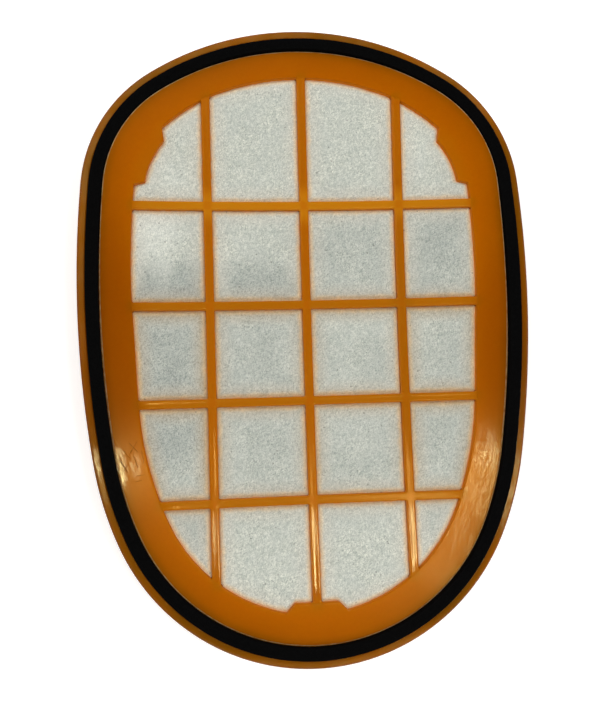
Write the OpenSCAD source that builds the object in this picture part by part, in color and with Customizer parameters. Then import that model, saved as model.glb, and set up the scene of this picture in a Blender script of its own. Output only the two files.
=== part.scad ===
// Egg-shaped filter cartridge: a dished frame with a rib grid, a foam
// gasket in its rim, a fleece behind the grid and a pleated pack in the
// rear well. Millimetres, +Z towards the gasket side, +Y towards the broad end.
// The origin is at the centre of the overall box, on the plane of the skirt's foot.

/* [Outline] */
// Radius of the broad end
end_r = 93.43; // [92.5:0.01:94.5]
// Step from the broad end's centre to a shoulder's, in triangles of 85, 132 and 157
shoulder_step = 0.285; // [0.28:0.001:0.29]
// Step from a side's centre to the lower side's, in triangles of 621, 100 and 629
lower_step = 0.4; // [0.396:0.001:0.404]
// Step from the lower side's centre to the narrow end's, in triangles of 551, 240 and 601
narrow_step = 0.065; // [0.062:0.001:0.068]

/* [Rim] */
// Height of the rib grid's surface at its centre
grid_z = 17.4; // [17.2:0.1:18.4]
// Width of the outer lip
lip_w = 2.7; // [2.2:0.1:3]
// Height of the lip's crown above the grid's centre
lip_rise = 5; // [4.8:0.1:5.6]
// Height of the gasket seat above the grid's centre
seat_rise = 4; // [3.6:0.1:4.2]
// Thickness of the rim under the gasket seat
rim_t = 2; // [1.6:0.1:2.4]
// Width of the gasket channel
channel_w = 4.4; // [4.2:0.1:4.6]

/* [Dish] */
// Radius of the dish from side to side
dish_rx = 530; // [500:10:600]
// Radius of the dish from end to end
dish_ry = 1000; // [900:20:1200]
// Wall thickness of the flange round the window
flange_t = 2.2; // [1.8:0.1:2.4]

/* [Grid] */
// Distance between the long ribs
rib_px = 32; // [31.5:0.1:32.5]
// Distance between the cross ribs
rib_py = 32.35; // [32:0.05:32.6]
// Width of a rib
rib_w = 3; // [2.6:0.1:3.2]
// Height of a rib above the dish surface
rib_proud = 0.4; // [0.2:0.1:0.6]

// Distance from the outline to the window's edge
window_in = 17; // [16.5:0.1:17.5]
// How far the lands reach into the window
land_d = 3.3; // [2.8:0.1:3.6]

/* [Skirt] */
// Distance from the outline to the outside of the skirt
skirt_in = 9.5; // [9:0.1:10]
// Wall thickness of the skirt
skirt_t = 2; // [1.6:0.1:2.2]

/* [Gasket] */
// Width of the foam ring
gasket_w = 4.2; // [4:0.1:4.2]
// Height of the foam ring
gasket_h = 2.6; // [2.4:0.1:3]

/* [Media] */
// Thickness of the fleece
fleece_t = 1.6; // [1.2:0.1:1.6]
// Height of the pleats
pleat_h = 11.4; // [10:0.2:11.6]
// Distance from one fold to the next on the same face
pleat_pitch = 4.6; // [4.4:0.1:5]
// Thickness of the pleated paper
paper_t = 0.6; // [0.5:0.1:0.7]
// Height of the pack's lower face above the foot of the skirt
pack_z = 1.4; // [1.2:0.1:1.6]
// Width of the sealing bead round the pack
seal_w = 2.5; // [2.2:0.1:3]
// Distance between the glue threads across the pleats
bead_step = 24; // [22:1:25]

/* [Hidden] */

orange = [0.78, 0.42, 0.02];
black = [0.05, 0.05, 0.05];
white = [0.86, 0.87, 0.84];
paper = [0.93, 0.92, 0.88];
glue = [0.88, 0.84, 0.72];

// The outline is a closed chain of arcs that are tangent where they meet.
// Neighbouring centres are a right triangle with whole-number sides apart,
// times its step, so centres and radii come out as short decimals.
// A point on the outline has the angle of its outward normal; c1 is the arc
// of the broad end, c5 that of the narrow end, and c2 to c4 lie on the right.
t1 = [85, 132, 157];
t2 = [220, 21, 221];
t3 = [621, -100, 629];
t4 = [551, -240, 601];
// The step from a shoulder to a side brings c5 back to the middle line
side_step = (shoulder_step * t1[0] + lower_step * t3[0] + narrow_step * t4[0]) / t2[0];
c1 = [0, 0];
c2 = c1 + shoulder_step * [t1[0], t1[1]];
c3 = c2 - side_step * [t2[0], t2[1]];
c4 = c3 + lower_step * [t3[0], t3[1]];
c5 = c4 + narrow_step * [t4[0], t4[1]];
shoulder_r = end_r - shoulder_step * t1[2];
side_r = shoulder_r + side_step * t2[2];
lower_r = side_r - lower_step * t3[2];
narrow_r = lower_r - narrow_step * t4[2];
// Middle of the outline's length, which goes to y = 0
mid_y = (c1[1] + end_r + c5[1] - narrow_r) / 2;
centres = [c1, c2, c3, c4, c5];
radii = [end_r, shoulder_r, side_r, lower_r, narrow_r];
angles = [90, atan2(t1[1], t1[0]), atan2(t2[1], t2[0]), atan2(t3[1], t3[0]), atan2(t4[1], t4[0]), -90];
function on(k, a, d) = centres[k] - [0, mid_y] + (radii[k] - d) * [cos(a), sin(a)];

// Centre of the grid, a little towards the narrow end
grid_y = -3.15;

gasket_in = lip_w + channel_w;
seat_z = grid_z + seat_rise;
lip_z = grid_z + lip_rise;
rim_z = seat_z - rim_t;
well_in = skirt_in + skirt_t;
high = grid_z + 12;
// Step under the lip's crown
lip_step = 0.6;
// How far the ribs run out over the flange
rib_over = 2.4;
// Half width of a fold's tip
tip_w = 0.85;
// Width and height of a glue thread
bead_w = 1.4;
bead_h = 0.6;

// Flat outline, moved inwards by d: a core with one strip for each arc
module egg(d) {
    core = [for (k = [0:4]) on(k, angles[k], d + 12)];
    polygon(concat(
        [on(4, -90, d + 12)],
        [for (k = [4:-1:0]) core[k]],
        [for (k = [1:4]) [-core[k][0], core[k][1]]]));
    for (k = [0:4], side = [0, 1])
        mirror([side, 0, 0])
            intersection() {
                translate(centres[k] - [0, mid_y]) rotate(180) circle(r = radii[k] - d, $fn = 720);
                polygon([on(k, angles[k], d + 17), on(k, angles[k + 1], d + 17),
                         on(k, angles[k + 1], -20), on(k, angles[k], -20)]);
            }
}

module prism(d, z0, z1) { translate([0, 0, z0]) linear_extrude(z1 - z0) egg(d); }

module ring(d0, d1, z0, z1) {
    difference() {
        prism(d0, z0, z1);
        prism(d1, z0 - 1, z1 + 1);
    }
}

// Space above the dish surface when it is lowered by t: a barrel whose
// section is an arc of dish_rx + t, turned about a cross axis at dish_ry
module above_dish(t) {
    translate([0, grid_y, grid_z + dish_ry])
        rotate([0, 90, 0])
            rotate([0, 0, -8])
                rotate_extrude(angle = 16, $fn = 1440)
                    intersection() {
                        translate([dish_ry - dish_rx, 0]) rotate(180) circle(r = dish_rx + t, $fn = 1440);
                        translate([dish_ry - 30, -80]) square([60, 160]);
                    }
}

// Layer between two depths under the dish surface
module dish_shell(t1, t0) {
    difference() {
        above_dish(t1);
        above_dish(t0);
    }
}

// Window outline: the rim's outline moved inwards, less the three lands
module window() {
    difference() {
        egg(window_in);
        // Two lands beside the broad end, concentric with the shoulders
        for (side = [0, 1])
            mirror([side, 0, 0])
                intersection() {
                    difference() {
                        egg(window_in - 2);
                        egg(window_in + land_d);
                    }
                    translate([0, grid_y])
                        polygon([[40, 57.2], [52, 56.2], [62, 54.2], [62, 82], [46.6, 82], [46, 71], [45.2, 68]]);
                }
        // Land at the narrow end, under the middle rib
        translate([0, grid_y])
            polygon([[-10.4, -85], [10.4, -85], [7.1, -80.6], [-7.1, -80.6]]);
    }
}

module ribs() {
    intersection() {
        union() {
            for (x = [-1:1])
                translate([x * rib_px - rib_w / 2, -120, 0]) cube([rib_w, 240, 60]);
            for (y = [-1.5:1:1.5])
                translate([-90, grid_y + y * rib_py - rib_w / 2, 0]) cube([180, rib_w, 60]);
        }
        prism(window_in - rib_over, 1, high);
        dish_shell(flange_t - 0.2, -rib_proud);
    }
}

module frame() color(orange) {
    difference() {
        union() {
            // Rim with its lip, gasket seat and the step inside the seat
            ring(0, lip_w, rim_z, lip_z - lip_step);
            ring(lip_step, lip_w, rim_z, lip_z);
            ring(0, gasket_in, rim_z, seat_z);
            ring(gasket_in - 1, well_in, rim_z, seat_z - 0.6);
            // Dished flange, whose edge is the inner wall of the gasket channel
            intersection() {
                prism(gasket_in, 1, high);
                dish_shell(flange_t, 0);
            }
            // Skirt
            ring(skirt_in, well_in, 0, rim_z + 0.5);
        }
        translate([0, 0, 1]) linear_extrude(high) window();
    }
    ribs();
}

module gasket() color(black) {
    ring(lip_w + (channel_w - gasket_w) / 2, gasket_in - (channel_w - gasket_w) / 2, seat_z, seat_z + gasket_h);
}

module fleece() color(white) {
    intersection() {
        prism(well_in + 0.6, 1, high);
        dish_shell(flange_t + fleece_t, flange_t);
    }
}

// Paper folded across the width, cut to the well's outline. The folds have
// flat tips, wider outside by the paper's thickness.
module pleated_pack() color(paper) {
    n = ceil(100 / pleat_pitch);
    z0 = pack_z;
    z1 = pack_z + pleat_h;
    over = [for (i = [-n:n]) each [[-tip_w, z1], [tip_w, z1],
        [pleat_pitch / 2 - tip_w + paper_t, z0 + paper_t], [pleat_pitch / 2 + tip_w - paper_t, z0 + paper_t]]
        + [for (j = [1:4]) [i * pleat_pitch, 0]]];
    under = [for (i = [n:-1:-n]) each [[pleat_pitch / 2 + tip_w, z0], [pleat_pitch / 2 - tip_w, z0],
        [tip_w - paper_t, z1 - paper_t], [paper_t - tip_w, z1 - paper_t]]
        + [for (j = [1:4]) [i * pleat_pitch, 0]]];
    intersection() {
        prism(well_in + seal_w, 0, high);
        translate([-90, 0, 0]) rotate([90, 0, 90]) linear_extrude(180)
            polygon(concat(over, under));
    }
}

module edge_sealant() color(glue) {
    ring(well_in, well_in + seal_w, pack_z - 0.4, pack_z + pleat_h);
}

module spacer_beads() color(glue) {
    for (x = [-2:2], z = [pack_z - bead_h, pack_z + pleat_h])
        translate([x * bead_step - bead_w / 2, 0, z])
            intersection() {
                translate([0, -100, 0]) cube([bead_w, 200, bead_h]);
                translate([-x * bead_step + bead_w / 2, 0, -1]) linear_extrude(3) egg(well_in + seal_w + 4);
            }
}

frame();
gasket();
fleece();
pleated_pack();
edge_sealant();
spacer_beads();
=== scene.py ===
import math

import bpy
import numpy as np
from mathutils import Matrix, Vector
from mathutils.geometry import delaunay_2d_cdt


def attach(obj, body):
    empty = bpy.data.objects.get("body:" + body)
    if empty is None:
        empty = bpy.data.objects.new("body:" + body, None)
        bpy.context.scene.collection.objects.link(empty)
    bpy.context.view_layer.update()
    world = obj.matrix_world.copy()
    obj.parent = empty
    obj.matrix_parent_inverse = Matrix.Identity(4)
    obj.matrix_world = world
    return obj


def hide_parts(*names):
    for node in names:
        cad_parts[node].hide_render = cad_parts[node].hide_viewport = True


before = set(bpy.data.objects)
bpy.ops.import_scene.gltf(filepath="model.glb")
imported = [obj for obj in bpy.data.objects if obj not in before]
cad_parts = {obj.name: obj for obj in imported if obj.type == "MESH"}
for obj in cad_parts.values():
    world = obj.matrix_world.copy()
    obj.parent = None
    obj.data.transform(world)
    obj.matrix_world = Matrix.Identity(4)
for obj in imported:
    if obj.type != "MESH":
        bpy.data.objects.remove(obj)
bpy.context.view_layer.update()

MM = 0.001

# --------------------------------------------------------------------------
# Shared geometry, in millimetres, with the same numbers as the CAD part
# --------------------------------------------------------------------------
T = np.array([(85, 132, 157), (220, 21, 221), (621, -100, 629), (551, -240, 601)], float)
SHOULDER, LOWER, NARROW = 0.285, 0.4, 0.065
SIDE = (SHOULDER * T[0, 0] + LOWER * T[2, 0] + NARROW * T[3, 0]) / T[1, 0]
END_R = 93.43
GRID_Z, LIP_W, LIP_RISE, SEAT_RISE, RIM_T, CHANNEL = 17.4, 2.7, 5.0, 4.0, 2.0, 4.4
RX, RY, FLANGE_T = 530.0, 1000.0, 2.2
PX, PY, RIB_W, PROUD = 32.0, 32.35, 3.0, 0.4
WINDOW, LAND = 17.0, 3.3
SKIRT_IN, SKIRT_T = 9.5, 2.0
GASKET_W, GASKET_H, FLEECE_T = 4.2, 2.6, 1.6
LIP_STEP = 0.6
PLEAT_H, PITCH, PACK_Z, SEAL_W, BEAD_STEP = 11.4, 4.6, 1.4, 2.5, 24.0
GRID_Y = -3.15
GASKET_IN = LIP_W + CHANNEL
SEAT_Z = GRID_Z + SEAT_RISE
LIP_Z = GRID_Z + LIP_RISE
RIM_Z = SEAT_Z - RIM_T
WELL = SKIRT_IN + SKIRT_T

_c = [np.zeros(2)]
_c.append(_c[0] + SHOULDER * T[0, :2])
_c.append(_c[1] - SIDE * T[1, :2])
_c.append(_c[2] + LOWER * T[2, :2])
_c.append(_c[3] + NARROW * T[3, :2])
_r = [END_R]
_r.append(_r[0] - SHOULDER * T[0, 2])
_r.append(_r[1] + SIDE * T[1, 2])
_r.append(_r[2] - LOWER * T[2, 2])
_r.append(_r[3] - NARROW * T[3, 2])
_mid = (END_R + _c[4][1] - _r[4]) / 2
CENTRES = [c - np.array([0, _mid]) for c in _c]
RADII = _r
ANGLES = [math.pi / 2] + [math.atan2(t[1], t[0]) for t in T] + [-math.pi / 2]
# Arc lengths on the right half, from the narrow end's middle to the broad end's
ARC_LEN = [RADII[k] * (ANGLES[k] - ANGLES[k + 1]) for k in range(5)]
HALF = sum(ARC_LEN)
FULL = 2 * HALF


def outline(s):
    """Points and outward normals of the outline at arc lengths s, counter-clockwise from the narrow end."""
    s = np.mod(np.asarray(s, float), FULL)
    mirrored = s > HALF
    t = np.where(mirrored, FULL - s, s)
    p, n = np.zeros((len(t), 2)), np.zeros((len(t), 2))
    start = 0.0
    for k in (4, 3, 2, 1, 0):
        m = (t >= start - 1e-9) & (t <= start + ARC_LEN[k] + 1e-9)
        a = ANGLES[k + 1] + (t[m] - start) / RADII[k]
        nn = np.c_[np.cos(a), np.sin(a)]
        p[m], n[m] = CENTRES[k] + RADII[k] * nn, nn
        start += ARC_LEN[k]
    flip = np.where(mirrored, -1.0, 1.0)
    p[:, 0] *= flip
    n[:, 0] *= flip
    return p, n


def dish(x, y, t=0.0):
    """Height of the dish surface lowered by t."""
    radial = RY - RX + np.sqrt((RX + t) ** 2 - np.square(x))
    return GRID_Z + RY - np.sqrt(radial**2 - np.square(y - GRID_Y))


_fs = np.arange(0, FULL, 0.05)
_fp, _fn = outline(_fs)


def nearest(q):
    """Arc length and depth inside the outline of a point."""
    d = np.hypot(_fp[:, 0] - q[0], _fp[:, 1] - q[1])
    i = int(d.argmin())
    return _fs[i], d[i]


def locate(x, y):
    """Arc length (right half) and depth inside the outline of many points on the part."""
    x, y = np.abs(np.asarray(x, float)).ravel(), np.asarray(y, float).ravel()
    out, s = np.full(len(x), 999.0), np.zeros(len(x))
    start = 0.0
    for k in (4, 3, 2, 1, 0):
        vx, vy = x - CENTRES[k][0], y - CENTRES[k][1]
        a = np.arctan2(vy, vx)
        d = RADII[k] - np.hypot(vx, vy)
        m = (a <= ANGLES[k] + 1e-9) & (a >= ANGLES[k + 1] - 1e-9) & (d < out)
        out = np.where(m, d, out)
        s = np.where(m, start + (a - ANGLES[k + 1]) * RADII[k], s)
        start += ARC_LEN[k]
    return s, out


def depth(x, y):
    return locate(x, y)[1]


def noise(seed, *xyz, scale=1.0, terms=14, spread=0.45):
    """Smooth pseudo-random field of unit size: a sum of sine waves with fixed random directions."""
    rng = np.random.default_rng(seed)
    out = 0.0
    for _ in range(terms):
        direction = rng.normal(size=len(xyz))
        direction /= np.linalg.norm(direction)
        k = 2 * math.pi / (scale * rng.uniform(1 - spread, 1 + spread))
        out = out + np.sin(sum(d * v for d, v in zip(direction, xyz)) * k + rng.uniform(0, 2 * math.pi))
    return out / math.sqrt(terms / 2)


# --------------------------------------------------------------------------
# Mesh helpers
# --------------------------------------------------------------------------
def make(name, points, faces, node, weighted=True, angle=None):
    mesh = bpy.data.meshes.new(name)
    mesh.from_pydata((np.asarray(points, float) * MM).tolist(), [], [tuple(int(i) for i in f) for f in faces])
    mesh.validate()
    mesh.update()
    obj = bpy.data.objects.new(name, mesh)
    bpy.context.scene.collection.objects.link(obj)
    mesh.polygons.foreach_set("use_smooth", [True] * len(mesh.polygons))
    if angle is not None:
        mesh.set_sharp_from_angle(angle=math.radians(angle))
    if weighted:
        m = obj.modifiers.new("normals", "WEIGHTED_NORMAL")
        m.keep_sharp = True
        m.weight = 90
    if node:
        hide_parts(*([node] if isinstance(node, str) else node))
    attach(obj, "root")
    return obj


def fillet(a, b, c, r, n):
    """Arc points that round the corner b between a and c, for arrays of 2-D points: (n + 1, N, 2)."""
    u = a - b
    v = c - b
    u = u / np.linalg.norm(u, axis=1, keepdims=True)
    v = v / np.linalg.norm(v, axis=1, keepdims=True)
    cos = np.clip((u * v).sum(1), -0.999999, 0.999999)
    half = np.arccos(cos) / 2
    t = (r / np.tan(half))[:, None]
    w = u + v
    centre = b + w / np.linalg.norm(w, axis=1, keepdims=True) * (r / np.sin(half))[:, None]
    e0, e1 = b + u * t - centre, b + v * t - centre
    phi = math.pi - 2 * half
    out = []
    for i in range(n + 1):
        f = i / n
        out.append(centre + (np.sin((1 - f) * phi)[:, None] * e0 + np.sin(f * phi)[:, None] * e1) / np.sin(phi)[:, None])
    return np.array(out)


def section(corners, count):
    """Rounds a closed profile. corners is a list of (x, z, radius, segments); x and z are numbers or arrays of count. Returns (M, count, 2)."""
    pts = [np.c_[np.broadcast_to(x, count), np.broadcast_to(z, count)].astype(float) for x, z, _, _ in corners]
    rows = []
    for i, (_, _, r, n) in enumerate(corners):
        if r <= 0:
            rows.append(pts[i][None])
        else:
            rows.append(fillet(pts[i - 1], pts[i], pts[(i + 1) % len(pts)], r, n))
    return np.concatenate(rows)


def loft_faces(m, n, base=0, close_m=True, close_n=True):
    """Quads of a grid of m rows and n columns, stored row by row."""
    faces = []
    for j in range(m if close_m else m - 1):
        j2 = (j + 1) % m
        for i in range(n if close_n else n - 1):
            i2 = (i + 1) % n
            faces.append((base + j * n + i, base + j * n + i2, base + j2 * n + i2, base + j2 * n + i))
    return faces


def ring_points(rows, p, n):
    """3-D points of a profile (M, N, 2) of (depth, z) swept round the outline p with normals n."""
    d, z = rows[..., 0], rows[..., 1]
    x = p[:, 0][None] - d * n[:, 0][None]
    y = p[:, 1][None] - d * n[:, 1][None]
    return np.stack([x, y, z], -1)


def outward(points, faces):
    """Faces turned so that the closed mesh has a positive volume."""
    v = np.asarray(points, float)
    tris = np.array([(f[0], f[i], f[i + 1]) for f in faces for i in range(1, len(f) - 1)])
    a, b, c = v[tris[:, 0]], v[tris[:, 1]], v[tris[:, 2]]
    return faces if (a * np.cross(b, c)).sum() > 0 else [tuple(reversed(f)) for f in faces]


# --------------------------------------------------------------------------
# Frame: the rim, dished flange, skirt and window edge as one swept section
# --------------------------------------------------------------------------
def land_profile():
    """Arc lengths and depths of the window's edge, on the right half."""
    g = lambda x, y: (x, y + GRID_Y)
    foot = [(x, nearest(g(x, -80.5))) for x in (0.0, 2.4, 4.8, 7.1)]
    foot = [(s, d) for _, (s, d) in foot]
    foot[0] = (0.0, foot[0][1])
    toe = nearest(g(9.9, -83.7))
    knots = foot + [(toe[0], WINDOW)]
    lower_out, lower_in = nearest(g(55.6, 55.6)), nearest(g(52.1, 56.4))
    upper_in, upper_out = nearest(g(45.7, 70.3)), nearest(g(46.2, 74.5))
    knots += [(lower_out[0], WINDOW), (lower_in[0], WINDOW + LAND), (upper_in[0], WINDOW + LAND), (upper_out[0], WINDOW), (HALF, WINDOW)]
    return np.array(knots)


KNOTS = land_profile()
# Arc lengths where the right side is at y = -31 and y = 1
SIDE_S = [float(np.interp(y, _fp[:int(HALF / 0.05), 1], _fs[:int(HALF / 0.05)])) for y in (-31.0, 1.0)]


def in_window(x, y):
    """Distance inside the window's edge, measured towards the outline; negative over the flange."""
    s, d = locate(x, y)
    return d - window_depth(s)


def window_depth(s, soften=0.22):
    """Depth of the window's edge at arc lengths s, with the lands' corners softened."""
    out = 0.0
    weights = [0.1, 0.2, 0.4, 0.2, 0.1]
    for k, w in zip((-2, -1, 0, 1, 2), weights):
        t = np.mod(s + k * soften, FULL)
        t = np.where(t > HALF, FULL - t, t)
        out = out + w * np.interp(t, KNOTS[:, 0], KNOTS[:, 1])
        # the edge strays a little from the rim's outline: further out at both ends and low on the sides
        crown = np.clip((t - (HALF - 62)) / 30, 0, 1)
        stray = 0.40 * np.exp(-np.square((t - SIDE_S[1]) / 14)) - 0.55 * np.exp(-np.square((t - SIDE_S[0]) / 13))
        stray = stray - 0.38 * np.exp(-np.square(t / 34)) - 1.12 * crown * crown * (3 - 2 * crown)
        out = out + w * stray
    return out


def ring_samples():
    """Arc lengths round the outline, close together where the lands begin and end."""
    base = np.linspace(0, HALF, 236)
    extra = []
    for a in (KNOTS[3, 0], KNOTS[4, 0], KNOTS[5, 0], KNOTS[6, 0], KNOTS[7, 0], KNOTS[8, 0]):
        extra += list(a + np.arange(-0.75, 0.76, 0.15))
    for a, b in ((KNOTS[3, 0], KNOTS[4, 0]), (KNOTS[5, 0], KNOTS[6, 0]), (KNOTS[7, 0], KNOTS[8, 0])):
        extra += list(np.linspace(a, b, 7)[1:-1])
    extra = np.array(extra)
    base = np.array([b for b in base if np.abs(extra - b).min() > 0.25])
    right = np.unique(np.round(np.concatenate([base, extra]), 4))
    keep = [right[0]]
    for v in right[1:]:
        if v - keep[-1] > 0.06:
            keep.append(v)
    right = np.array(keep)
    right[0], right[-1] = 0.0, HALF
    return np.concatenate([right, (FULL - right[1:-1])[::-1]])


# The mesh stays this far inside the outline, as its edges are rounder than the solid's
EDGE_IN = 0.03


def frame_ring():
    s = ring_samples()
    p, n = outline(s)
    w = window_depth(s)
    N = len(s)

    def surf(d, t=0.0):
        return dish(p[:, 0] - d * n[:, 0], p[:, 1] - d * n[:, 1], t)

    rows = section([
        (WELL, 0.0, 0.35, 3),
        (SKIRT_IN, 0.0, 0.45, 4),
        (SKIRT_IN, 6.0, 0, 0),
        (SKIRT_IN, 13.0, 0, 0),
        (SKIRT_IN, RIM_Z, 0.7, 4),
        (SKIRT_IN - 4.0, RIM_Z, 0, 0),
        (EDGE_IN, RIM_Z, 0.45, 4),
        (EDGE_IN, LIP_Z - LIP_STEP, 0.26, 4),
        (LIP_STEP, LIP_Z - LIP_STEP, 0.12, 2),
        (LIP_STEP, LIP_Z, 0.30, 4),
        (LIP_W, LIP_Z, 0.40, 5),
        (LIP_W, SEAT_Z, 0.15, 2),
        (GASKET_IN, SEAT_Z, 0.12, 2),
        (GASKET_IN, surf(GASKET_IN), 0.40, 5),
        *[(e, surf(e), 0, 0) for e in (GASKET_IN + f * (w - 0.8 - GASKET_IN) for f in (0.11, 0.21, 0.31, 0.41, 0.51, 0.61, 0.71, 0.81, 0.91))],
        (w - 0.8, surf(w - 0.8), 0, 0),
        (w, surf(w), 0.42, 5),
        (w, surf(w, FLANGE_T), 0.12, 2),
        (w - 1.8, surf(w - 1.8, FLANGE_T), 0, 0),
        (WELL + 1.2, surf(WELL + 1.2, FLANGE_T), 0, 0),
        (WELL, surf(WELL, FLANGE_T), 0.5, 3),
        (WELL, 12.0, 0, 0),
        (WELL, 6.0, 0, 0),
    ], N)
    pts = ring_points(rows, p, n)
    m = len(rows)
    flat = pts.reshape(-1, 3)
    # how far each row lies down the window's wall: 0 on the face, 1 near the underside
    d, z = rows[..., 0], rows[..., 1]
    low = surf(w)[None] - z
    wall = np.where(d > w[None] - 0.5, np.clip((low - 0.12) / 0.7, 0, 1), 0)
    wall = np.where((low > FLANGE_T - 0.4) & (d < w[None] - 0.2), 0, wall)
    # the channel's inner top edge, where a light line is painted on the moulding as a highlight
    ledge_highlight = np.where((np.abs(d - GASKET_IN - 0.16) < 0.22) & (z > SEAT_Z - 0.5) & (z > surf(GASKET_IN)[None] - 0.30), 1.0, 0.0)
    return flat, outward(flat, loft_faces(m, N)), d.reshape(-1), wall.reshape(-1), ledge_highlight.reshape(-1)


# --------------------------------------------------------------------------
# Frame: the rib grid, with rounded edges and small fillets in its corners
# --------------------------------------------------------------------------
XC = [-PX, 0.0, PX]
YC = [-1.5 * PY + 0.1, -0.5 * PY + 0.1, 0.5 * PY - 0.38, 1.5 * PY + 0.4]
HALF_V, HALF_H = 1.40, 1.36
RIB_END = WINDOW - 2.4
CORNER_R = 0.5
EDGE_R = 0.42
DRAFT = 0.10
RIB_FACE = 0.12
FLARE = 0.42
EDGE_W = 0.62


def reach(x=None, y=None, sign=1, over=0.0):
    """Where a line along a rib passes the window's edge, or a place so far over the flange, in grid coordinates."""
    t = np.arange(20, 110, 0.02) * sign
    if x is not None:
        q = in_window(np.full(len(t), x), t + GRID_Y)
    else:
        q = in_window(t, np.full(len(t), y + GRID_Y))
    ok = t[q >= -over]
    return ok.max() if sign > 0 else ok.min()


V_TOP = [reach(x=x, sign=1, over=2.2) for x in XC]
V_BOT = [reach(x=x, sign=-1, over=2.2) for x in XC]
H_END = [reach(y=y, sign=1, over=2.2) for y in YC]
# window's edge on the two sides of each rib
V_HIT = [[[reach(x=x + side * HALF_V, sign=sign) for side in (-1, 1)] for sign in (-1, 1)] for x in XC]
H_HIT = [[reach(y=y + side * HALF_H, sign=1) for side in (-1, 1)] for y in YC]
_counts = {}


def rounded(key, corners):
    """A closed loop of (x, y, radius, segments) with its straights divided the same way for every offset."""
    pts = [np.array([[x, y]], float) for x, y, _, _ in corners]
    arcs = []
    for i, (_, _, r, k) in enumerate(corners):
        arcs.append(fillet(pts[i - 1], pts[i], pts[(i + 1) % len(pts)], r, k)[:, 0])
    if key not in _counts:
        _counts[key] = [max(1, int(np.linalg.norm(arcs[(i + 1) % len(arcs)][0] - a[-1]) / 2.4)) for i, a in enumerate(arcs)]
    out = []
    for i, a in enumerate(arcs):
        out.append(a)
        b, k = arcs[(i + 1) % len(arcs)][0], _counts[key][i]
        if k > 1:
            f = np.arange(1, k)[:, None] / k
            out.append(a[-1] + (b - a[-1]) * f)
    return np.concatenate(out)


def grid_loops(e):
    """The rib grid's outer loop and its six closed cells, all moved e into the ribs."""
    hv, hh = HALF_V - e, HALF_H - e
    f = FLARE - 0.0
    k = 0.4142 * e
    cap = (max(0.8 - e, 0.2), 4)
    inner = (CORNER_R + e, 5)
    bay = (0.25 + e, 4)
    nose = (max(0.3 - e, 0.08), 4)
    loop = []

    def end(flip, along, hits, tip, mid, half):
        """Corners round one rib's end; flip turns (along, across) into (x, y)."""
        s = 1 if tip > 0 else -1
        a, b = hits
        out = [
            (a - s * (f - k), mid - half, *bay), (a + s * k, mid - half - f, *nose),
            (tip - s * e, mid - half - f, *cap), (tip - s * e, mid + half + f, *cap),
            (b + s * k, mid + half + f, *nose), (b - s * (f - k), mid + half, *bay),
        ]
        return [(x, y, r, n) if flip == 0 else (y, x, r, n) for x, y, r, n in out]

    for i, y in enumerate(YC):  # right ends, going up
        loop += end(0, None, (H_HIT[i][0], H_HIT[i][1]), H_END[i], y, hh)
        if i < 3:
            loop += [(XC[2] + hv, y + hh, *inner), (XC[2] + hv, YC[i + 1] - hh, *inner)]
    loop += [(XC[2] + hv, YC[3] + hh, *inner)]
    for j in (2, 1, 0):  # top ends, going left
        loop += end(1, None, (V_HIT[j][1][0], V_HIT[j][1][1]), V_TOP[j], XC[j], hv)[::-1]
        if j:
            loop += [(XC[j] - hv, YC[3] + hh, *inner), (XC[j - 1] + hv, YC[3] + hh, *inner)]
    loop += [(XC[0] - hv, YC[3] + hh, *inner)]
    for i in (3, 2, 1, 0):  # left ends, going down
        loop += end(0, None, (-H_HIT[i][0], -H_HIT[i][1]), -H_END[i], YC[i], hh)[::-1]
        if i:
            loop += [(XC[0] - hv, YC[i] - hh, *inner), (XC[0] - hv, YC[i - 1] + hh, *inner)]
    loop += [(XC[0] - hv, YC[0] - hh, *inner)]
    for j in (0, 1, 2):  # bottom ends, going right
        loop += end(1, None, (V_HIT[j][0][0], V_HIT[j][0][1]), V_BOT[j], XC[j], hv)
        if j < 2:
            loop += [(XC[j] + hv, YC[0] - hh, *inner), (XC[j + 1] - hv, YC[0] - hh, *inner)]
    loop += [(XC[2] + hv, YC[0] - hh, *inner)]
    loops = [rounded("outer", loop)]
    for j in range(2):
        for i in range(3):
            x0, x1, y0, y1 = XC[j] + hv, XC[j + 1] - hv, YC[i] + hh, YC[i + 1] - hh
            loops.append(rounded(f"cell{j}{i}", [(x0, y0, *inner), (x0, y1, *inner), (x1, y1, *inner), (x1, y0, *inner)]))
    return loops


def rib_face(x, y):
    """Height of the ribs' face: a little proud in the window, and level with the flange beyond its edge."""
    f = np.clip((in_window(x, y) + 0.3) / 3.6, 0, 1)
    f = f * f * (3 - 2 * f)
    return dish(x, y) + RIB_FACE * f - 0.02 * (1 - f)


def inside_loops(q, loops):
    """Even-odd test of points q against all loops."""
    hit = np.zeros(len(q), int)
    for lp in loops:
        a, b = lp, np.roll(lp, -1, axis=0)
        for (x0, y0), (x1, y1) in zip(a, b):
            if y0 == y1:
                continue
            m = ((y0 > q[:, 1]) != (y1 > q[:, 1])) & (q[:, 0] < (x1 - x0) * (q[:, 1] - y0) / (y1 - y0) + x0)
            hit += m
    return hit % 2 == 1


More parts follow.
